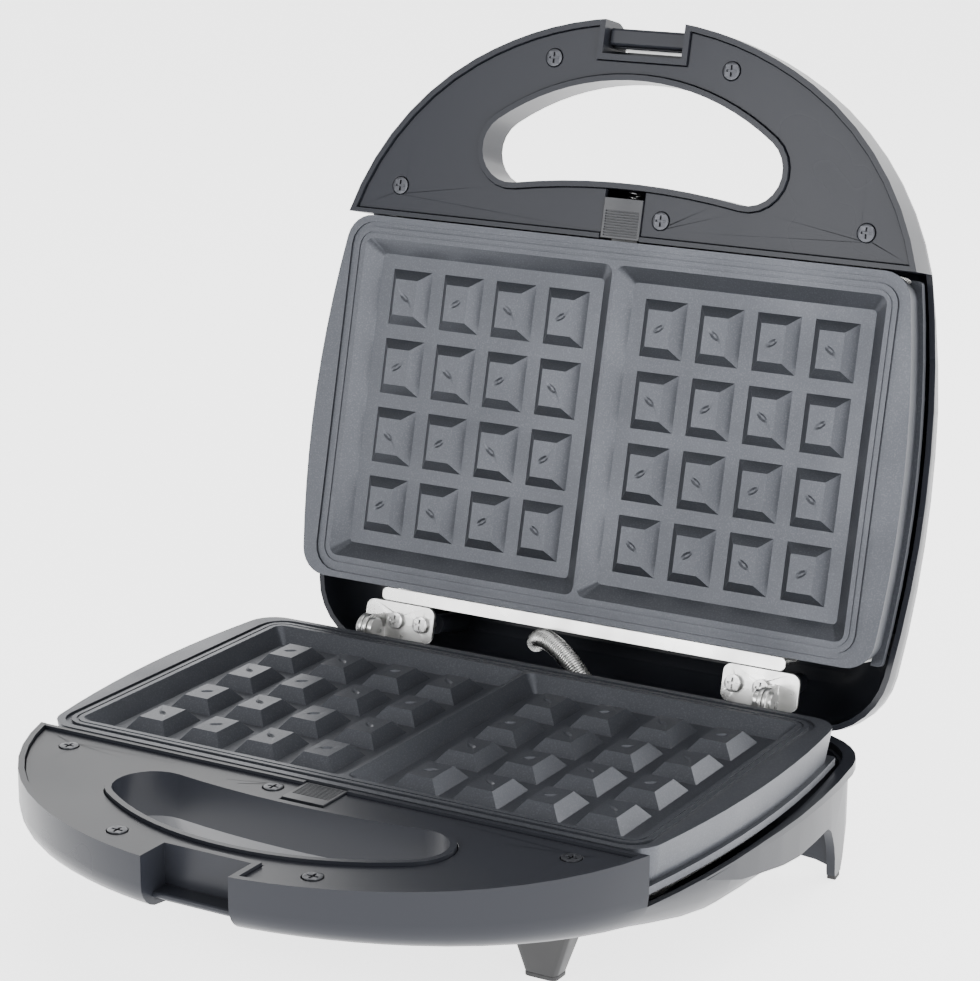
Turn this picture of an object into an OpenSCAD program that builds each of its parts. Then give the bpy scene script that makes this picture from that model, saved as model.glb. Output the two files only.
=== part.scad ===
// Two-slice waffle maker, opened. Lid and base share one set of mouldings.
// Axes: +X across, +Y to the hinge, +Z up, z = 0 under the feet.
// Each half is drawn with its parting plane at z = 0 and its body below it, then placed.

/* [Body] */
// Width across the bulged sides
body_w = 233; // [200:1:280]
// Radius of the bulged sides seen from above
side_r = 400; // [360:5:600]
// Where along the depth the sides are widest, from the middle of the plates
widest_y = 11; // [0:1:20]
// Space behind the plates for the hinge and the wiring
rear_bay = 24.6; // [22:0.2:32]
// Radius of the rear corners
rear_corner_r = 25.5; // [22:0.5:30]
// Thickness of the plastic walls
wall = 2; // [1.6:0.1:2.6]
// Depth of the body's rim below the parting plane
rim_drop = 16.5; // [14:0.5:20]
// How much the rim rises towards the rear
rim_rise = 1.5; // [0:0.1:2]
// Radius that turns the body's side wall into its floor
bowl_r = 18.7; // [14:0.5:21]
// Extra depth at the rear of the body
rear_drop = 3.1; // [1:0.1:5]

/* [Handle] */
// How far the handle reaches in front of the plates
handle_reach = 76.2; // [70:0.2:90]
// How much flatter the front curve is than one arc from tip to tip
front_flatten = 8.8; // [4:0.2:14]
// Radius of the handle's rounded ends
handle_end_r = 100; // [80:0.5:115]
// Straight part of the handle's outer wall, at its front
handle_straight = 9.5; // [7:0.5:12]
// Straight part of the handle's outer wall, at its tips
tip_straight = 13; // [10:0.5:15]
// Radius under the handle's outer edge, at its front
handle_round = 8.5; // [6:0.5:10]
// Radius under the handle's outer edge, at its tips
tip_round = 12.5; // [9:0.5:14]
// Width of the flat rim round the handle's inner cover
handle_rim = 2; // [1.6:0.1:3]
// Depth of the inner cover below the parting plane
cover_sink = 1.5; // [1:0.1:2.5]
// Front edge of the hand hole behind the handle's front
hole_front_gap = 19.2; // [17:0.2:24]
// Depth of the hand hole on the centre line
hole_depth = 39; // [34:0.5:40]
// Radius of the hand hole's front edge
hole_front_r = 91.8; // [85:0.5:110]
// Radius of the hand hole's rear edge
hole_rear_r = 268.6; // [220:1:400]
// Radius of the hand hole's ends
hole_end_r = 14; // [12:0.1:15]
// Half width of the latch notch
notch_half_w = 15.1; // [13:0.1:18]
// Depth of the latch notch from the front
notch_depth = 12.7; // [11.5:0.1:15]

/* [Plates] */
// Depth of a plate, front to rear
plate_d = 130.8; // [110:0.2:157]
// Gap between a plate's side and the body's rim
plate_gap = 2.4; // [2:0.1:4]
// Gap between the two plates' lands and the parting plane
land_gap = 0.25; // [0.2:0.05:0.5]
// Height of a plate's skirt
skirt_h = 12; // [10:0.5:13]
// Draft of the skirt
skirt_draft = 2; // [1:0.1:2.5]
// Thickness of the cast plate
plate_t = 2; // [1.6:0.1:2.4]
// Width of the land outside the waffle recesses, front and rear
land_y = 8; // [7:0.1:12]
// Width of the land outside the waffle recesses, at the sides
land_x = 14; // [12:0.1:20]
// Width of the ridge between the two recesses
ridge_w = 1.4; // [1:0.1:4]
// Depth of a waffle recess
recess_h = 5.1; // [4:0.1:6]
// Height of a waffle pyramid
pyramid_h = 4.2; // [3:0.1:4.8]
// Width of the channel between two pyramids
channel_w = 5.1; // [4:0.1:6]
// Slope width of a pyramid's sides
pyramid_slope = 3.5; // [3:0.1:3.8]
// Waffle cells in each direction of one recess
cells = 4; // [3:1:5]
// Width of the groove in the land
groove_w = 2; // [1.5:0.1:2.5]
// Depth of the groove in the land
groove_h = 0.8; // [0.5:0.1:1]
// Width of the fine line between the land and the bead
line_w = 0.7; // [0.4:0.1:1]
// Width of the bead round the recesses
bead_w = 1.7; // [1.2:0.1:2]
// Length of the dimple on each pyramid
dimple_l = 4.8; // [3:0.1:5]
// Width of the dimple
dimple_w = 2.2; // [1.2:0.1:2.4]

/* [Hinge and feet] */
// Opening angle of the lid
open_angle = 103.3; // [95:0.1:105]
// Hinge axis behind the plates
hinge_back = 15.2; // [14.6:0.1:18]
// Hinge axis below the parting plane
hinge_drop = 3.9; // [3.5:0.1:4.5]
// Distance of each hinge ear from the middle
ear_x = 77.8; // [70:0.1:80]
// Thickness of the hinge plates
bracket_t = 1.5; // [1.2:0.1:2]
// Radius of the hinge pins
pin_r = 2.5; // [2:0.1:3]
// Running clearance of a pin, on its radius
pin_clear = 0.05; // [0.02:0.01:0.1]
// Height of the parting plane above the table
stand_h = 52.6; // [50:0.2:60]
// Distance of the front feet from the middle
foot_x = 67.5; // [60:0.5:72]
// Distance of the front feet behind the handle's front
foot_back = 90.6; // [84:1:100]

/* [Hidden] */
$fn = 48;

// Colours
cover_grey = [0.30, 0.31, 0.34];
plate_grey = [0.38, 0.39, 0.42];
steel = [0.80, 0.80, 0.80];
heater_grey = [0.45, 0.45, 0.44];
spring_steel = [0.62, 0.62, 0.62];
rubber_black = [0.12, 0.12, 0.12];
slider_grey = [0.36, 0.37, 0.40];
ceramic_white = [0.90, 0.89, 0.85];

// Places along the depth, from the middle of the plates
plate_y = plate_d / 2;
front_y = -plate_y - handle_reach;
rear_y = plate_y + rear_bay;
hinge_y = plate_y + hinge_back;
step_gap = 0.6;
handle_rear_y = -plate_y - step_gap;

// Latch: its axis in the lid, and its reach to the underside of the base's lip
latch_y = front_y + 6.4;
latch_z = -7.5;
latch_pin_r = 1.5;
latch_half_w = notch_half_w - 0.5;
bar_r = 4;
bar_half_h = 2.9;
bar_half_d = 3.4;
arm_off = 2.2;
latch_t = 3;
lip_z = -14.2;
lip_r = 1;
latch_gap = 0.25;
latch_reach = -latch_z - lip_z + lip_r + latch_gap;
hook_t = 2;
hook_l = 2.6;

// Where a point of the closed lid lies along the depth once the lid is open
function open_y(y, above) =
    hinge_y + (y - hinge_y) * cos(open_angle) + (above + hinge_drop) * sin(open_angle);
// The origin is under the middle of the opened model, whose rearmost point is the latch's tip
open_tip_y = open_y(latch_y + arm_off - latch_t / 2 - hook_l, latch_reach + hook_t - latch_z);
frame_y = -(front_y + open_tip_y) / 2;

// Centre of the side arc, and the side's half width at a place along the depth
side_cx = body_w / 2 - side_r;
function side_x(y, inset) = side_cx + sqrt(pow(side_r - inset, 2) - pow(y - widest_y, 2));
// Centre of a corner circle of radius r that touches the side arc from inside
function corner_x(cy, r, inset) =
    side_cx + sqrt(pow(side_r - inset - r, 2) - pow(cy - widest_y, 2));

// The handle's outline: a front arc and two end arcs, from tip to tip
tip_x = side_x(handle_rear_y, 0);
tip_h = handle_rear_y - front_y;
front_r = (tip_x * tip_x + tip_h * tip_h) / (2 * tip_h) + front_flatten;
front_cy = front_y + front_r;
arc_gap = front_r - handle_end_r;
tip_len = norm([tip_x, front_cy - handle_rear_y]);
end_a = atan2(tip_x, front_cy - handle_rear_y)
    - acos((arc_gap * arc_gap + tip_len * tip_len - handle_end_r * handle_end_r)
        / (2 * arc_gap * tip_len));
end_cx = arc_gap * sin(end_a);
end_cy = front_cy - arc_gap * cos(end_a);

// Half of the body's outline, from the front's middle to the rear, at an inset
front_n = 8;
end_n = 7;
side_n = 9;
corner_n = 7;
function front_arc(d) = [for (i = [0:front_n])
    let (a = end_a * (i + 0.4) / (front_n + 0.4))
    [(front_r - d) * sin(a), front_cy - (front_r - d) * cos(a)]];
function end_arc(d) =
    let (a1 = acos((end_cy - handle_rear_y) / (handle_end_r - d)))
    [for (i = [1:end_n]) let (a = end_a + (a1 - end_a) * i / end_n)
    [end_cx + (handle_end_r - d) * sin(a), end_cy - (handle_end_r - d) * cos(a)]];
rear_cy = rear_y - rear_corner_r;
rear_a = asin((rear_cy - widest_y) / (side_r - rear_corner_r));
function side_arc(d) =
    let (a0 = asin((handle_rear_y - widest_y) / (side_r - d)))
    [for (i = [1:side_n]) let (a = a0 + (rear_a - a0) * i / side_n)
    [side_cx + (side_r - d) * cos(a), widest_y + (side_r - d) * sin(a)]];
function corner_arc(d) =
    [for (i = [1:corner_n]) let (a = rear_a + (90 - rear_a) * i / corner_n)
    [corner_x(rear_cy, rear_corner_r, 0) + (rear_corner_r - d) * cos(a),
        rear_cy + (rear_corner_r - d) * sin(a)]];
function half_outline(d) = concat(front_arc(d), end_arc(d), side_arc(d), corner_arc(d));
half_n = front_n + 1 + end_n + side_n + corner_n;
function mirrored(h) = concat(h, [for (i = [len(h) - 1:-1:0]) [-h[i].x, h[i].y]]);

rim_top = -0.4;
// The wall is straight for a while and then bends into the floor; both grow from the handle's
// front to its tips, and on to the body
blend_y = handle_rear_y + 40;
function smooth(t) = let (u = max(0, min(1, t))) u * u * (3 - 2 * u);
function straight_h(y) = lookup(y, [[front_y, handle_straight], [handle_rear_y, tip_straight],
    [blend_y, rim_drop + 0.8], [rear_y, rim_drop + 0.8 + rear_drop]]);
function bend_r(y) = lookup(y, [[front_y, handle_round], [handle_rear_y, tip_round],
    [blend_y, bowl_r]]);
function floor_z(y) = -straight_h(y) - bend_r(y);

// One level of the bowl: every outline point moved in and down along its own bend
bend_n = 6;
outline_0 = half_outline(0);
function level(w, a) =
    let (pts = [for (i = [0:half_n - 1])
        let (y = outline_0[i].y, r = bend_r(y), d = r - (r - w) * cos(a),
            p = half_outline(d)[i])
        [p.x, p.y, -straight_h(y) - (r - w) * sin(a)]])
    concat(pts, [for (i = [half_n - 1:-1:0]) [-pts[i].x, pts[i].y, pts[i].z]]);

// Closed solid inside the wall's surface at depth w, from a flat top down to the floor
module bowl(w, top) {
    n = 2 * half_n;
    rings = concat(
        [[for (p = mirrored(half_outline(w))) [p.x, p.y, top]]],
        [for (k = [0:bend_n]) level(w, 90 * k / bend_n)]);
    last = (len(rings) - 1) * n;
    sides = [for (k = [0:len(rings) - 2]) for (i = [0:n - 1])
        for (f = [[k * n + i, k * n + (i + 1) % n, (k + 1) * n + (i + 1) % n],
            [k * n + i, (k + 1) * n + (i + 1) % n, (k + 1) * n + i]]) f];
    strips = [for (i = [0:half_n - 2])
        [last + i, last + i + 1, last + n - 2 - i, last + n - 1 - i]];
    polyhedron([for (r = rings) for (p = r) p],
        concat([[for (i = [n - 1:-1:0]) i]], sides, strips), convexity = 6);
}

// Solid between level rings of equal point counts, given from the bottom up
module loft(levels) {
    n = len(levels[0]);
    m = len(levels);
    rings = [for (k = [m - 1:-1:0]) levels[k]];
    polyhedron([for (r = rings) for (p = r) p],
        concat([[for (i = [n - 1:-1:0]) i]],
            [for (k = [0:m - 2]) for (i = [0:n - 1])
                for (f = [[k * n + i, k * n + (i + 1) % n, (k + 1) * n + (i + 1) % n],
                    [k * n + i, (k + 1) * n + (i + 1) % n, (k + 1) * n + i]]) f],
            [[for (i = [0:n - 1]) (m - 1) * n + i]]), convexity = 4);
}

// Band under the base's rim, which stands proud of the wall round the rear corners
band_h = 2;
band_foot = 1.4;
band_out = 2.3;
band_y0 = -25;
band_y1 = rear_y - 16;
// Outline of the band, from an inset at the front to an outset at the rear
function band_line(inset, out, z) =
    let (pts = [for (i = [0:half_n - 1])
        let (t = smooth((outline_0[i].y - band_y0) / (band_y1 - band_y0)),
            p = half_outline(inset - (inset + out) * t)[i]) [p.x, p.y, z]])
    concat(pts, [for (i = [half_n - 1:-1:0]) [-pts[i].x, pts[i].y, z]]);
module rim_band()
    intersection() {
        loft([band_line(2.5, 0, -rim_drop - band_h - band_foot),
            band_line(0.3, band_out, -rim_drop - band_h), band_line(0.3, band_out, rim_top)]);
        translate([-200, band_y0, -60]) cube([400, 200, 120]);
    }

function at_z(pts, z) = [for (p = pts) [p.x, p.y, z]];

// Rounded rectangle, counter-clockwise
function rounded_rect(x0, x1, y0, y1, r, n) =
    [for (c = [[x1 - r, y0 + r, -90], [x1 - r, y1 - r, 0], [x0 + r, y1 - r, 90],
        [x0 + r, y0 + r, 180]]) for (i = [0:n])
        [c.x + r * cos(c.z + 90 * i / n), c.y + r * sin(c.z + 90 * i / n)]];

// Outline with straight ends and the body's bulged sides, counter-clockwise
function bulged_half(inset, y0, y1, r) =
    let (c0 = y0 + r, c1 = y1 - r, x0 = corner_x(c0, r, inset), x1 = corner_x(c1, r, inset),
        a0 = asin((c0 - widest_y) / (side_r - inset - r)),
        a1 = asin((c1 - widest_y) / (side_r - inset - r)))
    concat(
        [for (i = [0:6]) let (a = -90 + (a0 + 90) * i / 6) [x0 + r * cos(a), c0 + r * sin(a)]],
        [for (i = [1:9]) let (a = a0 + (a1 - a0) * i / 10)
            [side_cx + (side_r - inset) * cos(a), widest_y + (side_r - inset) * sin(a)]],
        [for (i = [0:6]) let (a = a1 + (90 - a1) * i / 6) [x1 + r * cos(a), c1 + r * sin(a)]]);
function bulged(inset, y0, y1, r) = mirrored(bulged_half(inset, y0, y1, r));

// Places: the base stands as drawn, the lid is turned over and swung open
module base_place() translate([0, frame_y, stand_h]) children();
module lid_place()
    base_place()
        translate([0, hinge_y, -hinge_drop])
            rotate([-open_angle, 0, 0])
                translate([0, -hinge_y, hinge_drop])
                    rotate([0, 180, 0]) children();

// ---- Handle: hand hole, notch, screws ----
hole_front_y = front_y + hole_front_gap;
hole_rear_y = hole_front_y + hole_depth;
hole_front_cy = hole_front_y + hole_front_r;
hole_rear_cy = hole_rear_y + hole_rear_r;
// The end circles touch both long edges from inside
to_front = hole_front_r - hole_end_r;
to_rear = hole_rear_r + hole_end_r;
cy_gap = hole_rear_cy - hole_front_cy;
hole_end_cy = hole_front_cy
    + (to_front * to_front - to_rear * to_rear + cy_gap * cy_gap) / (2 * cy_gap);
hole_end_cx = sqrt(to_front * to_front - pow(hole_end_cy - hole_front_cy, 2));

// Turns where the arcs meet, from the direction of -Y
hole_front_a = atan2(hole_end_cx, hole_front_cy - hole_end_cy);
hole_rear_a = atan2(hole_end_cx, hole_rear_cy - hole_end_cy);
function around(cx, cy, r, a) = [cx + r * sin(a), cy - r * cos(a)];

// The hand hole's outline, grown by d
function hole_half(d) = concat(
    [for (i = [0:9]) around(0, hole_front_cy, hole_front_r + d, hole_front_a * (i + 0.5) / 9.5)],
    [for (i = [1:10]) around(hole_end_cx, hole_end_cy, hole_end_r + d,
        hole_front_a + (180 + hole_rear_a - hole_front_a) * i / 10)],
    [for (i = [1:4]) around(0, hole_rear_cy, hole_rear_r - d, hole_rear_a * (4.5 - i) / 4.5)]);
module hole_2d(d) polygon(mirrored(hole_half(d)));
// The hand hole's wall flares towards its lower edge
flare_h = 5;
flare_w = 4;
function hole_line(d, z) = at_z(mirrored(hole_half(d)), z);
function flare_z() = floor_z(hole_front_y) + flare_h;
module hole_solid(d) {
    translate([0, 0, flare_z() - 0.1]) linear_extrude(80) hole_2d(d);
    loft([hole_line(d + 3 * flare_w, flare_z() - 3 * flare_h), hole_line(d, flare_z())]);
}

notch_y = front_y + notch_depth;
notch_wall = 2.1;
module notch_2d(d)
    translate([-notch_half_w - d, front_y - 20]) square([2 * (notch_half_w + d), notch_depth + 20 + d]);

screw_r = 1.5;
screw_head_r = 3;
screw_boss_r = 3.6;
handle_screws = [
    [-tip_x + 19.5, handle_rear_y - 10.9], [tip_x - 19.5, handle_rear_y - 10.9],
    [-33.9, front_y + 15.4], [33.9, front_y + 15.4], [-14.6, handle_rear_y - 7.8]
];

// Raised walls and posts inside the handle, cut out of its hollow
reflector_screws = [[-84, -46], [84, -46], [-84, 46], [84, 46]];
reflector_z = -15.7;
reflector_t = 0.8;
pan_z = -24;
bracket_screw_x = [61.5, 71.8];
bracket_y0 = hinge_y - 9.6;
bracket_y1 = hinge_y + 3.4;
bracket_screw_y = hinge_y - 3.1;
rib_t = 1.6;
handle_cover_t = 2;
handle_cover_z = -cover_sink;
cover_fit = 0.25;

slider_half_w = 7.4;
slider_d = 13.8;
slider_travel = 3;
slider_gap = 0.3;
slider_y1 = handle_rear_y - 0.3;
slider_y0 = slider_y1 - slider_d;
slider_z = -0.9;
slider_t = 2.2;
tongue_z = -6.4;
tongue_t = 1.6;
tongue_half_w = 5;

module shell_walls(bracket_z) {
    difference() {
        hole_solid(0);
        hole_solid(-handle_rim);
    }
    translate([0, 0, -60]) linear_extrude(60) notch_2d(notch_wall);
    translate([-tip_x, handle_rear_y - rib_t, -60]) cube([2 * tip_x, rib_t, 60 - 0.5]);
    for (p = handle_screws)
        translate([p.x, p.y, -60]) cylinder(h = 60 + handle_cover_z - handle_cover_t, r = screw_boss_r);
    for (p = reflector_screws)
        translate([p.x, p.y, -60]) cylinder(h = 60 + pan_z, r = screw_boss_r);
    for (s = [-1, 1]) for (x = bracket_screw_x)
        translate([s * x, bracket_screw_y, -60]) cylinder(h = 60 + bracket_z, r = screw_boss_r);
}

// Pilot holes for the screws
module pilots(bracket_z, depth) {
    for (p = handle_screws)
        translate([p.x, p.y, handle_cover_z - handle_cover_t - depth]) cylinder(h = 60, r = screw_r);
    for (p = reflector_screws)
        translate([p.x, p.y, pan_z - pan_pilot_depth]) cylinder(h = 60, r = screw_r);
    for (s = [-1, 1]) for (x = bracket_screw_x)
        translate([s * x, bracket_screw_y, bracket_z - depth]) cylinder(h = 60, r = screw_r);
}

pilot_depth = 8;
pan_pilot_depth = 5;
// Body and handle shell that lid and base share
module half_shell(bracket_z, with_band) {
    difference() {
        union() {
            bowl(0, rim_top);
            if (with_band) rim_band();
        }
        difference() {
            bowl(wall, 5);
            shell_walls(bracket_z);
        }
        translate([-200, 0, 0]) rotate([90, 0, 90]) linear_extrude(400) polygon([
            [handle_rear_y, -rim_drop], [20, -rim_drop], [rear_y - 14, -rim_drop + rim_rise],
            [rear_y + 20, -rim_drop + rim_rise], [rear_y + 20, 20], [handle_rear_y, 20]
        ]);
        hole_solid(-handle_rim);
        translate([0, 0, -60]) linear_extrude(120) notch_2d(0);
        translate([-slider_half_w - slider_gap, handle_rear_y - 5, tongue_z - slider_gap])
            cube([2 * (slider_half_w + slider_gap), 10, 20]);
        pilots(bracket_z, pilot_depth);
    }
}

// ---- Legs and feet ----
leg_bottom = -stand_h;
pad_h = 1.5;
leg_wall = 3;
leg_y = rear_y - 27;
leg_half_d = 2.5;
gusset_t = 2.5;
gusset_out_x = side_x(leg_y, 1);
// Skirt that hangs from the wall and runs down into each rear leg behind an arch
module rear_legs() {
    intersection() {
        translate([0, 0, leg_bottom + pad_h]) linear_extrude(stand_h - pad_h - rim_drop - 1) difference() {
            polygon(mirrored(half_outline(0)));
            polygon(mirrored(half_outline(leg_wall)));
        }
        translate([-200, leg_y, 0]) rotate([90, 0, 90]) linear_extrude(400) polygon([
            [-100, -rim_drop - 1], [-80, -24], [-61, -27.5], [-51, -29.4], [-39, -30.8], [-13, -31],
            [-9.5, -33], [-7, -36.5], [-5, -40.3], [-3.8, -44.5], [-3.4, leg_bottom + 3],
            [-leg_half_d, leg_bottom], [leg_half_d, leg_bottom], [3.8, leg_bottom + 3],
            [21, -rim_drop - 1]
        ]);
    }
    // Gusset across each leg, up to the underside of the body
    for (s = [-1, 1]) translate([0, leg_y - leg_half_d + gusset_t, 0]) scale([s, 1, 1])
        rotate([90, 0, 0]) linear_extrude(gusset_t) translate([gusset_out_x, 0]) polygon([
            [0, -24], [0, leg_bottom + pad_h], [-1.5, -48], [-6, -46.8], [-13, -46.3], [-21, -45],
            [-27, -42], [-33, -37], [-15.5, -37.2], [-8.5, -35], [-3.5, -31]
        ]);
}

foot_y = front_y + foot_back;
// Half sizes of a front foot at the body and at the pad
foot_top = [16, 6.5];
foot_tip = [5.6, 4];
function foot_line(s, half, r) = rounded_rect(s * foot_x - half.x, s * foot_x + half.x,
    foot_y - half.y, foot_y + half.y, r, 3);
module front_feet() color(rubber_black) base_place() difference() {
    for (s = [-1, 1]) loft([
        at_z(foot_line(s, foot_tip, 2), leg_bottom + pad_h),
        at_z(foot_line(s, foot_top, 3), floor_z(foot_y) + 8)]);
    bowl(0, rim_top);
}

// ---- Nodes of the two covers ----
base_bracket_z = -13.6;
lid_bracket_z = -5.4 - bracket_t;
lip_y = front_y + 7.2;
module catch_lip() {
    // Lip at the bottom of the notch, and the web under it
    translate([-notch_half_w, lip_y, lip_z - lip_r])
        cube([2 * notch_half_w, notch_y + 0.5 - lip_y, 2 * lip_r]);
    translate([-notch_half_w, lip_y, lip_z]) rotate([0, 90, 0]) cylinder(h = 2 * notch_half_w, r = lip_r);
    translate([-notch_half_w, notch_y - 1, floor_z(front_y) + 0.4])
        cube([2 * notch_half_w, 1.5, lip_z - floor_z(front_y)]);
}

inlet_x = 40;
inlet_z = -23.5;
inlet_r = 7;
module base_cover() color(cover_grey) base_place() {
    difference() {
        union() {
            half_shell(base_bracket_z, true);
            rear_legs();
            catch_lip();
        }
        translate([inlet_x, rear_y - 10, inlet_z]) rotate([-90, 0, 0]) cylinder(h = 20, r = inlet_r);
        // Seat for the grommet's flange
        translate([inlet_x, rear_y + 0.2, inlet_z]) rotate([-90, 0, 0])
            cylinder(h = 20, r = inlet_r + 1.8);
    }
}

lens_x = 14;
lens_y = -16;
lens_r = 4;
latch_pin_half_l = notch_half_w + notch_wall - 0.3;
// The latch's axis along X, in the lid's drawn frame
module latch_axis() translate([0, latch_y, latch_z]) rotate([0, 90, 0]) children();
module lid_cover() color(cover_grey) lid_place() {
    difference() {
        half_shell(lid_bracket_z, false);
        for (s = [-1, 1])
            translate([s * lens_x, lens_y, -60]) cylinder(h = 60, r = lens_r);
        latch_axis() cylinder(h = 2 * latch_pin_half_l, r = latch_pin_r, center = true);
    }
    // Web that closes the notch behind the latch's bar
    translate([-notch_half_w - 1, latch_y + bar_r + 0.4, latch_z - bar_r - 1.6])
        cube([2 * notch_half_w + 2, notch_y + 0.5 - latch_y - bar_r - 0.4, 1.6]);
}

// ---- Inner covers of the handle ----
module handle_cover_2d() {
    difference() {
        polygon(mirrored(concat(front_arc(handle_rim + cover_fit), end_arc(handle_rim + cover_fit))));
        hole_2d(cover_fit);
        notch_2d(notch_wall + cover_fit);
        translate([-200, handle_rear_y - rib_t - cover_fit]) square([400, 20]);
        translate([-slider_half_w - slider_gap, slider_y0 - slider_travel - slider_gap])
            square([2 * (slider_half_w + slider_gap), 40]);
    }
}

module handle_cover() {
    difference() {
        translate([0, 0, handle_cover_z - handle_cover_t]) linear_extrude(handle_cover_t) handle_cover_2d();
        for (p = handle_screws) {
            translate([p.x, p.y, -20]) cylinder(h = 40, r = screw_r + 0.2);
            translate([p.x, p.y, handle_cover_z - 0.9]) cylinder(h = 5, r = screw_head_r + 0.25);
        }
    }
}
module base_handle_cover() color(cover_grey) base_place() handle_cover();
module lid_handle_cover() color(cover_grey) lid_place() handle_cover();

// Pan-head screw with a cross recess, head underside at z = 0
module screw(head_h, length) {
    difference() {
        union() {
            cylinder(h = head_h, r = screw_head_r);
            translate([0, 0, -length]) cylinder(h = length + 0.01, r = screw_r);
        }
        for (a = [0, 90]) rotate(a) translate([-1.9, -0.4, head_h - 0.8]) cube([3.8, 0.8, 2]);
    }
}
module handle_screw_set()
    for (p = handle_screws) translate([p.x, p.y, handle_cover_z - 0.9]) screw(1.2, 8);
module base_handle_screws() color(steel) base_place() handle_screw_set();
module lid_handle_screws() color(steel) lid_place() handle_screw_set();

// ---- Waffle plates ----
land_z = -land_gap;
recess_x0 = ridge_w / 2;
recess_x1 = side_x(plate_y, plate_gap) + 4 - land_x;
recess_y = plate_y - land_y;
cell_x = (recess_x1 - recess_x0 - 2 * recess_h - channel_w) / cells;
cell_y = (2 * recess_y - 2 * recess_h - channel_w) / cells;

module recess(s, grow) {
    // 45 degree walls; grow > 0 gives the metal under the recess
    x0 = s * (recess_x0 + recess_x1) / 2;
    hx = (recess_x1 - recess_x0) / 2 + grow;
    loft([
        at_z(rounded_rect(x0 - hx + recess_h, x0 + hx - recess_h, -recess_y - grow + recess_h,
            recess_y + grow - recess_h, 1.5, 3), land_z - recess_h - (grow > 0 ? plate_t : 0)),
        at_z(rounded_rect(x0 - hx, x0 + hx, -recess_y - grow, recess_y + grow, 3, 3),
            land_z + (grow > 0 ? -0.5 : 0)),
        at_z(rounded_rect(x0 - hx, x0 + hx, -recess_y - grow, recess_y + grow, 3, 3),
            land_z + (grow > 0 ? -0.4 : 1))]);
}

module pyramid(cx, cy) {
    bx = (cell_x - channel_w) / 2;
    by = (cell_y - channel_w) / 2;
    drop = 0.5;
    grow = drop * pyramid_slope / pyramid_h;
    z0 = land_z - recess_h;
    loft([
        at_z([[cx - bx - grow, cy - by - grow], [cx + bx + grow, cy - by - grow],
            [cx + bx + grow, cy + by + grow], [cx - bx - grow, cy + by + grow]], z0 - drop),
        at_z([[cx - bx + pyramid_slope, cy - by + pyramid_slope],
            [cx + bx - pyramid_slope, cy - by + pyramid_slope],
            [cx + bx - pyramid_slope, cy + by - pyramid_slope],
            [cx - bx + pyramid_slope, cy + by - pyramid_slope]], z0 + pyramid_h)]);
}

// Rounded rectangular ring, w wide, whose outer edge is d outside the recesses
module land_ring(d, w, r)
    difference() {
        polygon(rounded_rect(-recess_x1 - d, recess_x1 + d, -recess_y - d, recess_y + d, r, 5));
        polygon(rounded_rect(-recess_x1 - d + w, recess_x1 + d - w, -recess_y - d + w,
            recess_y + d - w, r - w, 5));
    }

// Oval hollow on a pyramid's top, set on a diagonal
module dimple(cx, cy, angle) {
    top = land_z - recess_h + pyramid_h;
    function oval(l, w) = [for (k = [0:11])
        let (u = l / 2 * cos(30 * k), v = w / 2 * sin(30 * k))
        [cx + u * cos(angle) - v * sin(angle), cy + u * sin(angle) + v * cos(angle)]];
    loft([at_z(oval(dimple_l * 0.45, dimple_w * 0.35), top - 0.55),
        at_z(oval(dimple_l, dimple_w), top), at_z(oval(dimple_l, dimple_w), top + 0.3)]);
}

// Ledge along the foot of the skirt at each side
ledge_h = 2.4;
module side_ledges()
    translate([0, 0, land_z - skirt_h - ledge_h + 0.4]) linear_extrude(ledge_h) difference() {
        polygon(bulged(plate_gap + 0.2, -plate_y + 2, plate_y - 1, 1.5));
        polygon(bulged(plate_gap + skirt_draft + plate_t, -plate_y - 9, plate_y + 9, 6));
    }

module waffle_plate() {
    side_ledges();
    for_cells = [for (s = [-1, 1]) for (i = [0:cells - 1]) for (j = [0:cells - 1])
        [s * ((recess_x0 + recess_x1) / 2 + (i - (cells - 1) / 2) * cell_x),
            (j - (cells - 1) / 2) * cell_y, (i + j) % 2 == 0 ? 35 : -35]];
    difference() {
        loft([
            at_z(bulged(plate_gap + skirt_draft, -plate_y + skirt_draft, plate_y - skirt_draft, 8),
                land_z - skirt_h),
            at_z(bulged(plate_gap, -plate_y, plate_y, 10), land_z)]);
        difference() {
            loft([
                at_z(bulged(plate_gap + skirt_draft + plate_t, -plate_y + skirt_draft + plate_t,
                    plate_y - skirt_draft - plate_t, 7), land_z - skirt_h - 1),
                at_z(bulged(plate_gap + plate_t, -plate_y + plate_t, plate_y - plate_t, 8),
                    land_z - plate_t)]);
            for (s = [-1, 1]) recess(s, plate_t);
        }
        for (s = [-1, 1]) recess(s, 0);
        // Slot for the slider's tongue
        translate([-tongue_half_w - slider_gap, -plate_y - 1, tongue_z - slider_gap])
            cube([2 * (tongue_half_w + slider_gap), 6, tongue_t + 2 * slider_gap]);
        translate([0, 0, land_z - groove_h]) linear_extrude(5) land_ring(5.8, groove_w, 9);
        translate([0, 0, land_z - groove_h / 2]) linear_extrude(5)
            land_ring(bead_w + line_w, line_w, 6);
    }
    difference() {
        for (c = for_cells) pyramid(c.x, c.y);
        for (c = for_cells) dimple(c.x, c.y, c.z);
    }
}
module base_plate() color(plate_grey) base_place() waffle_plate();
module lid_plate() color(plate_grey) lid_place() waffle_plate();

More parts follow.
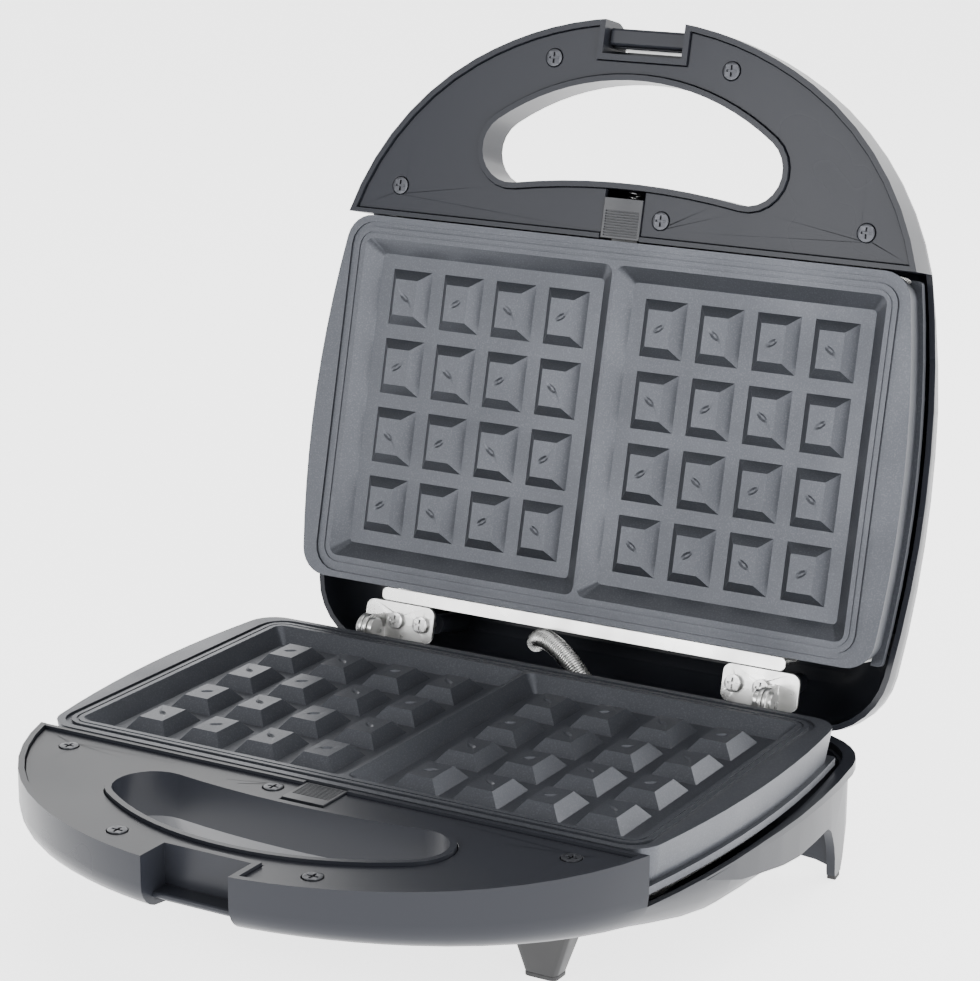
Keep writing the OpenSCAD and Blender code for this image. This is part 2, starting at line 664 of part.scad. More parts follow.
// ---- Reflector pan under each plate ----
pan_x = 100;
strip_x = 79;
strip_z = -5.4;
pan_y0 = -plate_y + 14;
pan_y1 = plate_y - 8;
module reflector() {
    flange_y = plate_y - 1;
    // Strip behind the plate, raised on a fold of the rear flange
    translate([-strip_x, plate_y + 3 - reflector_t, reflector_z - reflector_t])
        cube([2 * strip_x, reflector_t, strip_z - reflector_z + reflector_t]);
    translate([0, 0, strip_z - reflector_t]) linear_extrude(reflector_t)
        polygon(rounded_rect(-strip_x, strip_x, plate_y + 0.9, plate_y + 5.3, 1.5, 4));
    difference() {
        union() {
            translate([0, 0, reflector_z - reflector_t]) linear_extrude(reflector_t) {
                polygon(bulged(plate_gap + 2.4, -flange_y, flange_y, 8));
                polygon(rounded_rect(-strip_x, strip_x, 0, plate_y + 3, 2, 4));
            }
            translate([0, 0, pan_z]) linear_extrude(reflector_z - pan_z)
                polygon(rounded_rect(-pan_x, pan_x, pan_y0, pan_y1, 12, 4));
        }
        translate([0, 0, pan_z + reflector_t]) linear_extrude(60)
            polygon(rounded_rect(-pan_x + reflector_t, pan_x - reflector_t, pan_y0 + reflector_t,
                pan_y1 - reflector_t, 11, 4));
        for (p = reflector_screws) translate([p.x, p.y, pan_z - 1]) cylinder(h = 4, r = screw_r + 0.2);
        for (s = [-1, 1]) translate([element_end_x, s * element_y, pan_z - 1]) cylinder(h = 4, r = insulator_r);
    }
}
module base_reflector() color(steel) base_place() reflector();
module lid_reflector() color(steel) lid_place() reflector();
module reflector_screw_set()
    for (p = reflector_screws) translate([p.x, p.y, pan_z + reflector_t]) screw(1.8, 5);
module base_reflector_screws() color(steel) base_place() reflector_screw_set();
module lid_reflector_screws() color(steel) lid_place() reflector_screw_set();

// ---- Tubular heating element ----
element_tube_r = 3.2;
element_z = -13;
element_y = 34;
element_turn_x = 60;
element_end_x = -84;
element_leg_z = -30;
insulator_r = 4.6;
module element() {
    translate([element_turn_x, 0, element_z]) rotate([0, 0, -90]) rotate_extrude(angle = 180)
        translate([element_y, 0]) circle(element_tube_r);
    for (s = [-1, 1]) {
        translate([element_end_x, s * element_y, element_z]) rotate([0, 90, 0])
            cylinder(h = element_turn_x - element_end_x, r = element_tube_r);
        translate([element_end_x, s * element_y, element_z]) sphere(element_tube_r);
        translate([element_end_x, s * element_y, element_leg_z])
            cylinder(h = element_z - element_leg_z, r = element_tube_r);
    }
}
module base_heating_element() color(heater_grey) base_place() element();
module lid_heating_element() color(heater_grey) lid_place() element();

// Ceramic bushes that pass the element's ends through the pan
module insulators()
    for (s = [-1, 1]) translate([element_end_x, s * element_y, 0]) difference() {
        union() {
            translate([0, 0, pan_z - 2]) cylinder(h = 5, r = insulator_r);
            translate([0, 0, pan_z + reflector_t]) cylinder(h = 2.2, r = insulator_r + 1.6);
        }
        translate([0, 0, pan_z - 3]) cylinder(h = 10, r = element_tube_r + 0.1);
    }
module base_element_insulators() color(ceramic_white) base_place() insulators();
module lid_element_insulators() color(ceramic_white) lid_place() insulators();

// Steel clips that stand on the pan and wrap the element
clip_t = 0.8;
clip_w = 8;
clip_x = [-50, 45];
module element_clips()
    for (s = [-1, 1]) for (x = clip_x) translate([x - clip_w / 2, s * element_y, 0]) difference() {
        union() {
            translate([0, 0, element_z]) rotate([0, 90, 0])
                cylinder(h = clip_w, r = element_tube_r + clip_t);
            translate([0, -clip_t, pan_z + reflector_t])
                cube([clip_w, 2 * clip_t, element_z - element_tube_r - pan_z - reflector_t]);
            translate([0, -5, pan_z + reflector_t]) cube([clip_w, 10, clip_t]);
        }
        translate([-1, 0, element_z]) rotate([0, 90, 0]) cylinder(h = clip_w + 2, r = element_tube_r + 0.05);
    }
module base_element_clips() color(steel) base_place() element_clips();
module lid_element_clips() color(steel) lid_place() element_clips();

// ---- Plate release slider and its spring ----
slider_guide = 2;
slider_leg_y = slider_y1 - 5;
slider_spring_z = -9.5;
module slider() {
    rib_n = 10;
    rib_pitch = 0.92;
    difference() {
        translate([-slider_half_w, slider_y0, slider_z - slider_t])
            cube([2 * slider_half_w, slider_d, slider_t]);
        for (i = [0:rib_n - 1])
            translate([-slider_half_w + 1, slider_y1 - 0.8 - i * rib_pitch - 0.4, slider_z - 0.5])
                cube([2 * slider_half_w - 2, 0.45, 1]);
    }
    // Guide under the handle's inner cover, stem, tongue and spring seat
    translate([-slider_half_w - slider_guide, slider_y0 + 1, handle_cover_z - handle_cover_t - 1.7])
        cube([2 * (slider_half_w + slider_guide), slider_d - 3, 1.4]);
    translate([-slider_half_w, slider_y0 + 1, handle_cover_z - handle_cover_t - 1])
        cube([2 * slider_half_w, slider_d - 2, slider_z - slider_t + 1 - handle_cover_z + handle_cover_t]);
    translate([-tongue_half_w, slider_leg_y, tongue_z])
        cube([2 * tongue_half_w, -plate_y + 3.6 - slider_leg_y, tongue_t]);
    translate([-4, slider_leg_y, slider_spring_z - 3]) cube([8, 2, 9]);
}
module base_slider() color(slider_grey) base_place() slider();
module lid_slider() color(slider_grey) lid_place() slider();

// Round wire swept along points, each ring square to the path
function path_dir(p, i) =
    let (a = p[max(i - 1, 0)], b = p[min(i + 1, len(p) - 1)]) (b - a) / norm(b - a);
module sweep_tube(p, r, n) {
    m = len(p);
    ring_pts = [for (i = [0:m - 1])
        let (t = path_dir(p, i), u0 = cross(t, abs(t.x) > 0.8 ? [0, 0, 1] : [1, 0, 0]),
            u = u0 / norm(u0), v = cross(t, u))
        for (k = [0:n - 1]) p[i] + r * (cos(360 * k / n) * u + sin(360 * k / n) * v)];
    polyhedron(ring_pts, concat([[for (k = [0:n - 1]) k]],
        [for (i = [0:m - 2]) for (k = [0:n - 1])
            for (f = [[i * n + k, (i + 1) * n + k, (i + 1) * n + (k + 1) % n],
                [i * n + k, (i + 1) * n + (k + 1) % n, i * n + (k + 1) % n]]) f],
        [[for (k = [n - 1:-1:0]) (m - 1) * n + k]]), convexity = 10);
}

slider_spring_y0 = hole_rear_y + 0.1;
slider_spring_y1 = slider_leg_y - 0.1;
module slider_spring() {
    turns = 7;
    steps = 10;
    coil_r = 2.2;
    wire_r = 0.35;
    run = slider_spring_y1 - slider_spring_y0 - 2 * wire_r;
    sweep_tube([for (i = [0:turns * steps])
        [coil_r * cos(360 * i / steps), slider_spring_y0 + wire_r + run * i / (turns * steps),
            slider_spring_z + coil_r * sin(360 * i / steps)]], wire_r, 6);
}
module base_slider_spring() color(spring_steel) base_place() slider_spring();
module lid_slider_spring() color(spring_steel) lid_place() slider_spring();

// ---- Hinge ----
bracket_x0 = 56.8;
bracket_x1 = 85;
ear_r = 5;
ear_gap = 0.3;
// Plate with rounded corners, screwed down, and an ear that carries the pin
module bracket(side, plate_z, axis_z, ear_x0, bore_r) {
    difference() {
        union() {
            translate([0, 0, plate_z]) linear_extrude(bracket_t)
                polygon(rounded_rect(min(side * bracket_x0, side * bracket_x1),
                    max(side * bracket_x0, side * bracket_x1), bracket_y0, bracket_y1, 3, 4));
            translate([side * ear_x0 - (side < 0 ? bracket_t : 0), 0, 0]) {
                translate([0, hinge_y - ear_r, plate_z]) cube([bracket_t, 2 * ear_r - 1.6, axis_z - plate_z]);
                translate([0, hinge_y, axis_z]) rotate([0, 90, 0]) cylinder(h = bracket_t, r = ear_r);
            }
        }
        translate([side * (ear_x0 - 5) - 10, hinge_y, axis_z]) rotate([0, 90, 0]) cylinder(h = 40, r = bore_r);
        for (x = bracket_screw_x)
            translate([side * x, bracket_screw_y, plate_z - 1]) cylinder(h = 5, r = screw_r + 0.2);
    }
}
base_ear_x = ear_x + ear_gap;
lid_ear_x = ear_x - bracket_t;
module base_bracket_left() color(steel) base_place() bracket(-1, base_bracket_z, -hinge_drop, base_ear_x, pin_r);
module base_bracket_right() color(steel) base_place() bracket(1, base_bracket_z, -hinge_drop, base_ear_x, pin_r);
module lid_bracket_left() color(steel) lid_place() bracket(1, lid_bracket_z, hinge_drop, lid_ear_x, pin_r + pin_clear);
module lid_bracket_right() color(steel) lid_place() bracket(-1, lid_bracket_z, hinge_drop, lid_ear_x, pin_r + pin_clear);
module bracket_screw_set(plate_z)
    for (s = [-1, 1]) for (x = bracket_screw_x)
        translate([s * x, bracket_screw_y, plate_z + bracket_t]) screw(1.7, 8);
module base_bracket_screws() color(steel) base_place() bracket_screw_set(base_bracket_z);
module lid_bracket_screws() color(steel) lid_place() bracket_screw_set(lid_bracket_z);

// Headed pin, riveted over the base's ear
module hinge_pin(side)
    base_place() translate([0, hinge_y, -hinge_drop]) rotate([0, side * 90, 0]) {
        translate([0, 0, lid_ear_x - ear_gap - 1.6]) cylinder(h = 1.6, r = pin_r + 1.5);
        translate([0, 0, lid_ear_x - ear_gap - 0.5])
            cylinder(h = base_ear_x + bracket_t - lid_ear_x + ear_gap + 1, r = pin_r);
        translate([0, 0, base_ear_x + bracket_t]) cylinder(h = 1.2, r = pin_r + 1);
    }
module hinge_pin_left() color(steel) hinge_pin(-1);
module hinge_pin_right() color(steel) hinge_pin(1);

// ---- Feet, mains inlet and the parts wired under the base's pan ----
module foot_pads() color(rubber_black) base_place() {
    for (s = [-1, 1])
        translate([0, 0, leg_bottom]) linear_extrude(pad_h) polygon(foot_line(s, foot_tip, 2));
    translate([0, 0, leg_bottom]) linear_extrude(pad_h) intersection() {
        difference() {
            polygon(mirrored(half_outline(0)));
            polygon(mirrored(half_outline(leg_wall)));
        }
        translate([-200, leg_y - leg_half_d]) square([400, 2 * leg_half_d]);
    }
}

// Grommet in the rear wall that a mains lead passes through
lead_r = 3.6;
gland_y0 = rear_y - 9.5;
gland_y1 = rear_y + 6;
module power_inlet() color(rubber_black) base_place() translate([inlet_x, gland_y0, inlet_z])
    rotate([-90, 0, 0]) difference() {
        union() {
            cylinder(h = gland_y1 - gland_y0, r = inlet_r - 0.1);
            cylinder(h = 2.5, r = inlet_r + 1.5);
            translate([0, 0, rear_y + 0.3 - gland_y0]) cylinder(h = 2, r = inlet_r + 1.5);
        }
        translate([0, 0, -1]) cylinder(h = 30, r = lead_r);
    }

module thermostat() color(heater_grey) base_place() translate([35, 0, pan_z]) {
    translate([0, 0, -7]) cylinder(h = 7, r = 8);
    for (s = [-1, 1]) translate([s * 8 - 1, -1.5, -4]) cube([2 + 3, 3, 0.8]);
}
module thermal_fuse() color(ceramic_white) base_place()
    translate([-25, 14, pan_z - 2.1]) rotate([0, 90, 0]) {
        cylinder(h = 24, r = 2);
        translate([0, 0, -6]) cylinder(h = 36, r = 0.6);
    }
block_l = 34;
module terminal_block() color(ceramic_white) base_place() translate([20, 28, pan_z - 8.6]) difference() {
    cube([block_l, 14, 7]);
    for (i = [0:2]) translate([6 + i * 11, 4, 2]) cylinder(h = 10, r = 2);
    for (i = [0:2]) translate([6 + i * 11, 10, 2]) cylinder(h = 10, r = 2);
}

// Coiled steel sleeve that carries the wires from the base to the lid, with the lid open
sleeve_r = 3.5;
sleeve_path = [
    [19, 74, -26], [19, 74, -20], [18, 74.5, -14.5], [15, 75.2, -10], [10.5, 76.4, -5.8],
    [5, 78.8, -2], [-1, 81.8, 0.6], [-6.5, 85, 1.6], [-11, 88.5, 0.9], [-15, 92.5, -1.2],
    [-18, 96.5, -4]
];
module wiring_spring_tube() color(spring_steel) base_place() sweep_tube(sleeve_path, sleeve_r, 12);

// ---- Indicator lamps in the lid ----
module lens(s) translate([s * lens_x, lens_y, floor_z(lens_y) - 1.2]) {
    cylinder(h = 6, r = lens_r - 0.1);
    translate([0, 0, 1.2 + wall + 0.4]) cylinder(h = 1.4, r = lens_r + 1.5);
}
module power_lens() color([0.75, 0.10, 0.08]) lid_place() lens(1);
module ready_lens() color([0.15, 0.60, 0.20]) lid_place() lens(-1);
module lamp_bulbs() color([0.95, 0.75, 0.55]) lid_place()
    for (s = [-1, 1]) translate([s * lens_x, lens_y, floor_z(lens_y) + 7.3]) {
        translate([-5, 0, 0]) rotate([0, 90, 0]) cylinder(h = 10, r = 2.2);
        translate([s * 5, 0, 0]) sphere(2.2);
    }

// ---- Latch: swings over the front and hooks under the base's lip ----
module latch_clip() color(cover_grey) lid_place() difference() {
    union() {
        // Bar with rounded edges that turns about the pin
        intersection() {
            latch_axis() cylinder(h = 2 * latch_half_w, r = bar_r, center = true);
            translate([-latch_half_w, latch_y - bar_half_h, latch_z - bar_half_d])
                cube([2 * latch_half_w, 2 * bar_half_h, 2 * bar_half_d]);
        }
        translate([-latch_half_w, latch_y + arm_off - latch_t / 2, latch_z - latch_reach - hook_t])
            cube([2 * latch_half_w, latch_t, latch_reach + hook_t]);
        translate([-latch_half_w, latch_y + arm_off - latch_t / 2 - hook_l, latch_z - latch_reach - hook_t])
            cube([2 * latch_half_w, hook_l + 1, hook_t]);
    }
    latch_axis() cylinder(h = 60, r = latch_pin_r + pin_clear, center = true);
}
module latch_pin() color(steel) lid_place()
    latch_axis() cylinder(h = 2 * latch_pin_half_l, r = latch_pin_r, center = true);

base_cover();
base_handle_cover();
base_handle_screws();
base_plate();
base_reflector();
base_reflector_screws();
base_heating_element();
base_element_clips();
base_element_insulators();
base_slider();
base_slider_spring();
base_bracket_left();
base_bracket_right();
base_bracket_screws();
hinge_pin_left();
hinge_pin_right();
front_feet();
foot_pads();
power_inlet();
thermostat();
thermal_fuse();
terminal_block();
wiring_spring_tube();
lid_cover();
lid_handle_cover();
lid_handle_screws();
lid_plate();
lid_reflector();
lid_reflector_screws();
lid_heating_element();
lid_element_clips();
lid_element_insulators();
lid_slider();
lid_slider_spring();
lid_bracket_left();
lid_bracket_right();
lid_bracket_screws();
power_lens();
ready_lens();
lamp_bulbs();
latch_clip();
latch_pin();
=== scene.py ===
import math

import bmesh
import bpy
from mathutils import Matrix, Vector


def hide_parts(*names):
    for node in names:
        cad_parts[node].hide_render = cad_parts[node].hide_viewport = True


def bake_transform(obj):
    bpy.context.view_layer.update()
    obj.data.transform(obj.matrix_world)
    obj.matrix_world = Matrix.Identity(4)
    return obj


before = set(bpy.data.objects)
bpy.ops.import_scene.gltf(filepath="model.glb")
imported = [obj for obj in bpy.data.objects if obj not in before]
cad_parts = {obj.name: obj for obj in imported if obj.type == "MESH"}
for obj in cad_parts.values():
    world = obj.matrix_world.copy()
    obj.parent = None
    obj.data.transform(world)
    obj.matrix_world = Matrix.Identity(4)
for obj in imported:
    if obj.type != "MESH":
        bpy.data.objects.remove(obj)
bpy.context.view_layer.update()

# ---------------------------------------------------------------------------
# Camera. It stands to the right of the front, above the plates, and is turned
# and lifted by the angles below.
# ---------------------------------------------------------------------------
cam_turn = math.radians(29.775)
cam_lift = math.radians(15.231)
cam_roll = math.radians(0.425)
cam_back = Vector((math.sin(cam_turn) * math.cos(cam_lift),
                   -math.cos(cam_turn) * math.cos(cam_lift), math.sin(cam_lift)))
level_right = Vector((math.cos(cam_turn), math.sin(cam_turn), 0))
level_up = cam_back.cross(level_right)
cam_right = math.cos(cam_roll) * level_right + math.sin(cam_roll) * level_up
cam_up = -math.sin(cam_roll) * level_right + math.cos(cam_roll) * level_up
camera = bpy.data.objects.new("camera", bpy.data.cameras.new("camera"))
bpy.context.scene.collection.objects.link(camera)
cam_place = (0.4596, -0.7842, 0.3737)
cam_axes = Matrix((cam_right, cam_up, cam_back)).transposed()
camera.matrix_world = Matrix.Translation(cam_place) @ cam_axes.to_4x4()
camera.data.sensor_fit = "HORIZONTAL"
camera.data.sensor_width = 36
camera.data.lens = 108.9
camera.data.clip_start = 0.05
camera.data.clip_end = 20
bpy.context.scene.camera = camera

# ---------------------------------------------------------------------------
# Studio. A white floor, a surround that is bright behind and dimmer in front
# and overhead, and soft boxes at the sides of the front, above and behind.
# ---------------------------------------------------------------------------
world = bpy.data.worlds.new("surround")
bpy.context.scene.world = world
world.use_nodes = True
sky = world.node_tree
sky_where = sky.nodes.new("ShaderNodeTexCoord")
sky_split = sky.nodes.new("ShaderNodeSeparateXYZ")
sky_range = sky.nodes.new("ShaderNodeMapRange")
sky_range.inputs["From Min"].default_value = -0.5
sky_range.inputs["From Max"].default_value = 0.3
sky_range.inputs["To Min"].default_value = 3.4
sky_range.inputs["To Max"].default_value = 0.5
sky.links.new(sky_where.outputs["Generated"], sky_split.inputs["Vector"])
sky_turn = sky.nodes.new("ShaderNodeMath")
sky_turn.operation = "SUBTRACT"
sky.links.new(sky_split.outputs["Z"], sky_turn.inputs[0])
sky.links.new(sky_split.outputs["Y"], sky_turn.inputs[1])
sky.links.new(sky_turn.outputs["Value"], sky_range.inputs["Value"])
sky.links.new(sky_range.outputs["Result"], sky.nodes["Background"].inputs["Strength"])
sky.nodes["Background"].inputs["Color"].default_value = (1, 1, 1, 1)

paper = bpy.data.materials.new("white_paper")
paper.use_nodes = True
paper_bsdf = paper.node_tree.nodes["Principled BSDF"]
paper_bsdf.inputs["Base Color"].default_value = (0.9, 0.9, 0.9, 1)
paper_bsdf.inputs["Roughness"].default_value = 0.9
paper_bsdf.inputs["Emission Color"].default_value = (1, 1, 1, 1)
paper_bsdf.inputs["Emission Strength"].default_value = 2.6
bm = bmesh.new()
floor_half_width = 6
bmesh.ops.create_grid(bm, x_segments=1, y_segments=1, size=floor_half_width)
floor_mesh = bpy.data.meshes.new("floor")
bm.to_mesh(floor_mesh)
bm.free()
floor = bpy.data.objects.new("floor", floor_mesh)
floor_mesh.materials.append(paper)
bpy.context.scene.collection.objects.link(floor)


def soft_box(name, place, aim, size, power):
    """A square area lamp that faces a point."""
    lamp = bpy.data.lights.new(name, "AREA")
    lamp.shape = "SQUARE"
    lamp.size = size
    lamp.energy = power
    obj = bpy.data.objects.new(name, lamp)
    bpy.context.scene.collection.objects.link(obj)
    obj.location = place
    obj.rotation_euler = (Vector(aim) - Vector(place)).to_track_quat("-Z", "Y").to_euler()


middle = (0, 0, 0.12)
soft_box("right_box", (1.27, -0.59, 0.45), middle, 0.9, 14)
soft_box("front_box", (-0.45, -1.35, 0.5), middle, 0.8, 14)
soft_box("top_box", (0.1, 0.1, 1.7), middle, 1.2, 7)
soft_box("rear_box", (0.5, 1.2, 0.9), middle, 0.8, 7)

# ---------------------------------------------------------------------------
# Covers and handles. Two injection-moulded shells in a dark blue-grey plastic
# with a satin gloss. An inner handle cover drops into each rim and is screwed.
# ---------------------------------------------------------------------------


def new_material(name, colour, roughness, metallic=0.0):
    """A principled material with its constant values on the shader's sockets."""
    mat = bpy.data.materials.new(name)
    mat.use_nodes = True
    bsdf = mat.node_tree.nodes["Principled BSDF"]
    bsdf.inputs["Base Color"].default_value = (*colour, 1)
    bsdf.inputs["Roughness"].default_value = roughness
    bsdf.inputs["Metallic"].default_value = metallic
    return mat


def add_node(mat, kind, **values):
    """Adds a shader node and sets its inputs by name."""
    node = mat.node_tree.nodes.new(kind)
    for key, value in values.items():
        node.inputs[key.replace("_", " ")].default_value = value
    return node


def grain(mat, scale, height):
    """Adds a fine moulded or blasted grain of the given height and returns its coordinates."""
    tree = mat.node_tree
    where = tree.nodes.new("ShaderNodeTexCoord")
    noise = add_node(mat, "ShaderNodeTexNoise", Scale=scale, Detail=2.0)
    bump = add_node(mat, "ShaderNodeBump", Strength=1.0, Distance=height)
    tree.links.new(where.outputs["Object"], noise.inputs["Vector"])
    tree.links.new(noise.outputs["Fac"], bump.inputs["Height"])
    tree.links.new(bump.outputs["Normal"], tree.nodes["Principled BSDF"].inputs["Normal"])
    return where


def vary_gloss(mat, where, scale, low, high):
    """Lets a slow noise move the roughness between two values, as handling and moulding do."""
    tree = mat.node_tree
    noise = add_node(mat, "ShaderNodeTexNoise", Scale=scale, Detail=3.0)
    ramp = tree.nodes.new("ShaderNodeMapRange")
    ramp.inputs["From Min"].default_value = 0.3
    ramp.inputs["From Max"].default_value = 0.7
    ramp.inputs["To Min"].default_value = low
    ramp.inputs["To Max"].default_value = high
    tree.links.new(where.outputs["Object"], noise.inputs["Vector"])
    tree.links.new(noise.outputs["Fac"], ramp.inputs["Value"])
    tree.links.new(ramp.outputs["Result"], tree.nodes["Principled BSDF"].inputs["Roughness"])


def vary_colour(mat, where, scale, dark, light, low=0.35, high=0.65):
    """Lets a noise move the colour between two values."""
    tree = mat.node_tree
    noise = add_node(mat, "ShaderNodeTexNoise", Scale=scale, Detail=3.0)
    ramp = tree.nodes.new("ShaderNodeValToRGB")
    ramp.color_ramp.elements[0].position = low
    ramp.color_ramp.elements[0].color = (*dark, 1)
    ramp.color_ramp.elements[1].position = high
    ramp.color_ramp.elements[1].color = (*light, 1)
    tree.links.new(where.outputs["Object"], noise.inputs["Vector"])
    tree.links.new(noise.outputs["Fac"], ramp.inputs["Fac"])
    tree.links.new(ramp.outputs["Color"], tree.nodes["Principled BSDF"].inputs["Base Color"])


def dress(node, mat, edge, segments=2, flat=False):
    """Gives a CAD node its finish and rounds its sharp edges by a width in metres."""
    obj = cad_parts[node]
    for slot in obj.material_slots:
        slot.material = mat
    if not obj.material_slots:
        obj.data.materials.append(mat)
    for face in obj.data.polygons:
        face.use_smooth = not flat
    weld = obj.modifiers.new("weld", "WELD")
    weld.merge_threshold = 2e-6
    if edge:
        bevel = obj.modifiers.new("edges", "BEVEL")
        bevel.limit_method = "ANGLE"
        bevel.angle_limit = math.radians(30)
        bevel.width = edge
        bevel.segments = segments
    if not flat:
        normals = obj.modifiers.new("shading", "WEIGHTED_NORMAL")
        normals.mode = "FACE_AREA"
        normals.weight = 80


cover_plastic = new_material("cover_plastic", (0.018, 0.0195, 0.025), 0.3)
cover_where = grain(cover_plastic, 2600, 0.000012)
vary_gloss(cover_plastic, cover_where, 14, 0.26, 0.34)
cover_plastic.node_tree.nodes["Principled BSDF"].inputs["Specular IOR Level"].default_value = 0.2
for half in ("base", "lid"):
    dress(half + "_cover", cover_plastic, 0.0006, 3)
    dress(half + "_handle_cover", cover_plastic, 0.0003, flat=True)

# ---------------------------------------------------------------------------
# Waffle plates. Die-cast aluminium under a dark grey non-stick coating that
# holds fine light specks. Each lifts out when its slider is drawn back.
# ---------------------------------------------------------------------------
coating = new_material("plate_coating", (0.10, 0.105, 0.12), 0.4, 0.6)
coat_where = grain(coating, 3200, 0.00003)
vary_colour(coating, coat_where, 1900, (0.06, 0.064, 0.075), (0.085, 0.09, 0.102), 0.5, 0.7)
vary_gloss(coating, coat_where, 30, 0.36, 0.46)
for half in ("base", "lid"):
    dress(half + "_plate", coating, 0.0006, 3)

# ---------------------------------------------------------------------------
# Reflectors, brackets, screws and pins. The reflectors are pressed from bright
# aluminised sheet and the hinge brackets from zinc-plated strip. The screws are
# plated steel, blackened where they hold the handle covers.
# ---------------------------------------------------------------------------
sheet_steel = new_material("bright_sheet", (0.78, 0.78, 0.77), 0.28, 1.0)
sheet_where = grain(sheet_steel, 900, 0.00001)
vary_gloss(sheet_steel, sheet_where, 60, 0.22, 0.36)
plated = new_material("plated_steel", (0.74, 0.74, 0.73), 0.3, 1.0)
plated_where = grain(plated, 1500, 0.00001)
vary_gloss(plated, plated_where, 160, 0.24, 0.4)
screw_steel = new_material("screw_steel", (0.60, 0.60, 0.60), 0.32, 1.0)
screw_where = grain(screw_steel, 2500, 0.000008)
vary_gloss(screw_steel, screw_where, 400, 0.25, 0.42)
black_oxide = new_material("black_oxide", (0.06, 0.062, 0.07), 0.36, 0.8)
oxide_where = grain(black_oxide, 2500, 0.000008)
vary_gloss(black_oxide, oxide_where, 400, 0.3, 0.45)
for half in ("base", "lid"):
    dress(half + "_reflector", sheet_steel, 0.0003)
    dress(half + "_reflector_screws", screw_steel, 0.0002)
    dress(half + "_handle_screws", black_oxide, 0.00008)
    dress(half + "_bracket_screws", screw_steel, 0.00012)
    dress(half + "_bracket_left", plated, 0.0003)
    dress(half + "_bracket_right", plated, 0.0003)
    dress(half + "_element_clips", plated, 0.0002)
dress("hinge_pin_left", plated, 0.0003)
dress("hinge_pin_right", plated, 0.0003)
dress("latch_pin", plated, 0.0003)

# ---------------------------------------------------------------------------
# Heating elements. Steel-sheathed rods, bent to a U and browned by heat, that
# pass through ceramic bushes. The base also holds the fuse, the thermostat and
# the ceramic block that the wires are joined in.
# ---------------------------------------------------------------------------
sheath = new_material("heater_sheath", (0.20, 0.19, 0.18), 0.5, 0.9)
sheath_where = grain(sheath, 1800, 0.00001)
vary_colour(sheath, sheath_where, 120, (0.13, 0.12, 0.13), (0.26, 0.23, 0.19))
ceramic = new_material("white_ceramic", (0.80, 0.78, 0.73), 0.45)
ceramic_where = grain(ceramic, 2000, 0.00001)
vary_gloss(ceramic, ceramic_where, 200, 0.38, 0.55)
for half in ("base", "lid"):
    dress(half + "_heating_element", sheath, 0)
    dress(half + "_element_insulators", ceramic, 0.0002)
dress("thermal_fuse", ceramic, 0.0001)
dress("terminal_block", ceramic, 0.0003)
dress("thermostat", plated, 0.0003)

# ---------------------------------------------------------------------------
# Sliders and their springs. Dark satin plastic with fine ribs for a thumb. A
# wire spring presses each slider's tongue into the plate's slot.
# ---------------------------------------------------------------------------
slider_plastic = new_material("slider_plastic", (0.018, 0.0195, 0.024), 0.36)
slider_where = grain(slider_plastic, 2600, 0.00001)
vary_gloss(slider_plastic, slider_where, 80, 0.32, 0.42)
spring_wire = new_material("spring_wire", (0.62, 0.62, 0.61), 0.25, 1.0)
spring_where = grain(spring_wire, 3000, 0.000005)
vary_gloss(spring_wire, spring_where, 500, 0.2, 0.34)
for half in ("base", "lid"):
    dress(half + "_slider", slider_plastic, 0.0001, flat=True)
    dress(half + "_slider_spring", spring_wire, 0)

# ---------------------------------------------------------------------------
# Feet and mains gland. Front feet with rubber pads, coloured near-black as their
# own dark moulding plus painted shade from under the body, and a rubber grommet
# for the mains lead.
# ---------------------------------------------------------------------------
rubber = new_material("black_rubber", (0.02, 0.02, 0.021), 0.7)
rubber_where = grain(rubber, 1400, 0.00002)
vary_gloss(rubber, rubber_where, 120, 0.6, 0.8)
# The near-black foot colour is partly the feet's own moulding and partly painted shade that falls
# under the body.
foot_plastic = new_material("foot_plastic", (0.008, 0.008, 0.009), 0.45)
foot_where = grain(foot_plastic, 1600, 0.00002)
vary_gloss(foot_plastic, foot_where, 90, 0.4, 0.52)
dress("front_feet", foot_plastic, 0.0004, 2)
dress("foot_pads", rubber, 0.0003)
dress("power_inlet", rubber, 0.0004)

# ---------------------------------------------------------------------------
# Indicator lamps and latch. Clear red and green moulded lenses sit in the lid
# over small glass lamps. The latch is moulded in the covers' plastic and turns
# on a steel pin.
# ---------------------------------------------------------------------------


def lens_material(name, colour):
    """Clear tinted plastic."""
    mat = new_material(name, colour, 0.15)
    mat.node_tree.nodes["Principled BSDF"].inputs["Transmission Weight"].default_value = 0.5
    where = grain(mat, 700, 0.00002)
    vary_gloss(mat, where, 200, 0.1, 0.25)
    return mat


dress("power_lens", lens_material("red_lens", (0.6, 0.03, 0.02)), 0.0006)
dress("ready_lens", lens_material("green_lens", (0.04, 0.42, 0.09)), 0.0006)
dress("lamp_bulbs", lens_material("lamp_glass", (0.95, 0.75, 0.55)), 0)
dress("latch_clip", cover_plastic, 0.0006, 3)

# ---------------------------------------------------------------------------
# Wiring sleeve. A close-coiled steel spring round the wires, from the base
# into the lid beside the hinge; it bends as the lid closes.
# ---------------------------------------------------------------------------
stand_height = 0.0526
depth_shift = -0.01223
route = [(19, 74, -26), (19, 74, -20), (18, 74.5, -14.5), (15, 75.2, -10), (10.5, 76.4, -5.8),
         (5, 78.8, -2), (-1, 81.8, 0.6), (-6.5, 85, 1.6), (-11, 88.5, 0.9), (-15, 92.5, -1.2),
         (-18, 96.5, -4)]
line = [Vector((x / 1000, y / 1000 + depth_shift, z / 1000 + stand_height)) for x, y, z in route]


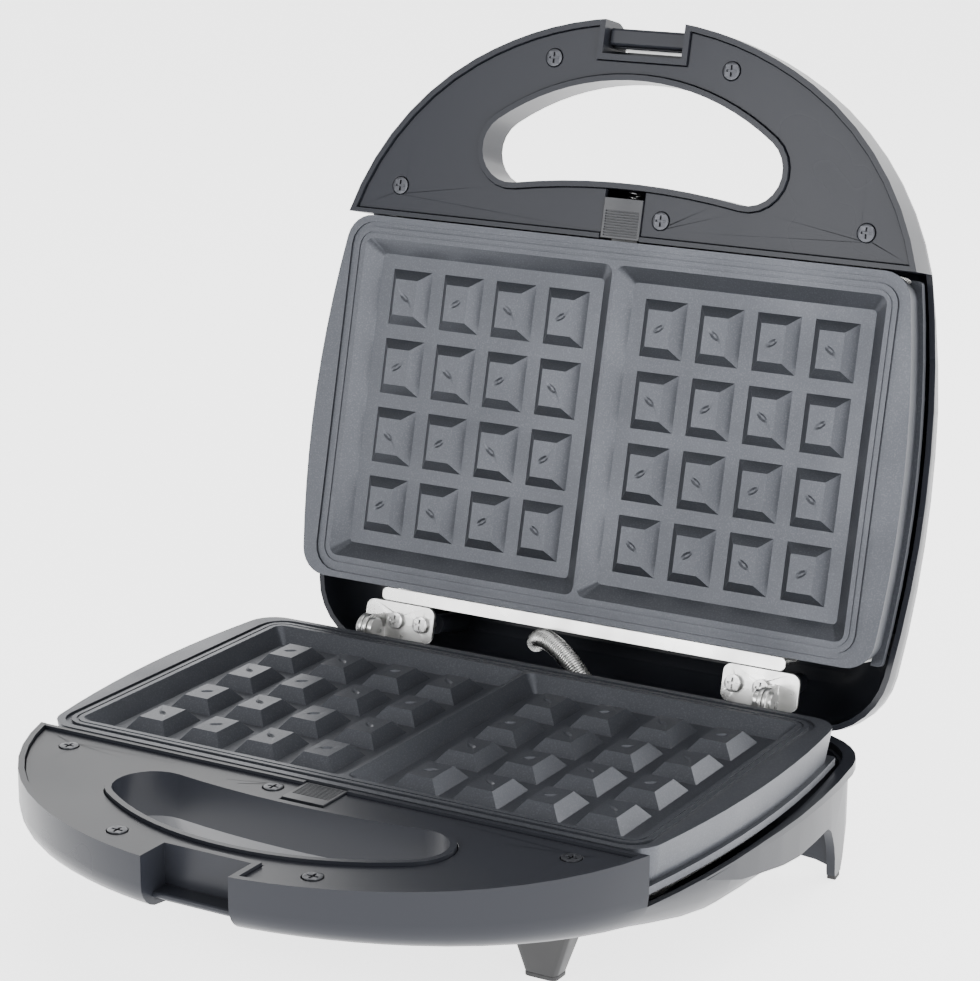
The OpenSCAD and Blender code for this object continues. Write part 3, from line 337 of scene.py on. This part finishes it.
def along(points, step):
    """Points at even steps along a smooth line through the given points."""
    curve_parts = 24
    fine = []
    for i in range(len(points) - 1):
        before = points[max(i - 1, 0)]
        after = points[min(i + 2, len(points) - 1)]
        for k in range(curve_parts):
            t = k / curve_parts
            fine.append(0.5 * (2 * points[i] + (points[i + 1] - before) * t
                               + (2 * before - 5 * points[i] + 4 * points[i + 1] - after) * t ** 2
                               + (3 * points[i] - before - 3 * points[i + 1] + after) * t ** 3))
    fine.append(points[-1])
    even = [fine[0]]
    left = step
    for a, b in zip(fine, fine[1:]):
        length = (b - a).length
        gone = 0.0
        while length - gone >= left:
            gone += left
            even.append(a.lerp(b, gone / length))
            left = step
        left -= length - gone
    return even


wire_radius = 0.00045
sleeve_radius = 0.0035
pitch = 0.00095
turn_steps = 14
wire_sides = 6
middle_line = along(line, pitch / turn_steps)
side = Vector((1, 0, 0))
bm = bmesh.new()
rows = []
for i, point in enumerate(middle_line):
    ahead = middle_line[min(i + 1, len(middle_line) - 1)] - middle_line[max(i - 1, 0)]
    ahead.normalize()
    side = (side - side.dot(ahead) * ahead).normalized()
    other = ahead.cross(side)
    turned = 2 * math.pi * i / turn_steps
    out = side * math.cos(turned) + other * math.sin(turned)
    wire_middle = point + out * (sleeve_radius - wire_radius)
    row = []
    for k in range(wire_sides):
        a = 2 * math.pi * k / wire_sides
        row.append(bm.verts.new(wire_middle + wire_radius * (math.cos(a) * out + math.sin(a) * ahead)))
    rows.append(row)
for near, far in zip(rows, rows[1:]):
    for k in range(wire_sides):
        after = (k + 1) % wire_sides
        face = bm.faces.new((near[k], near[after], far[after], far[k]))
        face.smooth = True
bm.faces.new(rows[0])
bm.faces.new(rows[-1])
bmesh.ops.recalc_face_normals(bm, faces=bm.faces)
coil_mesh = bpy.data.meshes.new("wiring_coil")
bm.to_mesh(coil_mesh)
bm.free()
wiring_coil = bpy.data.objects.new("wiring_coil", coil_mesh)
coil_mesh.materials.append(spring_wire)
bpy.context.scene.collection.objects.link(wiring_coil)
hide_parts("wiring_spring_tube")
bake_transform(wiring_coil)
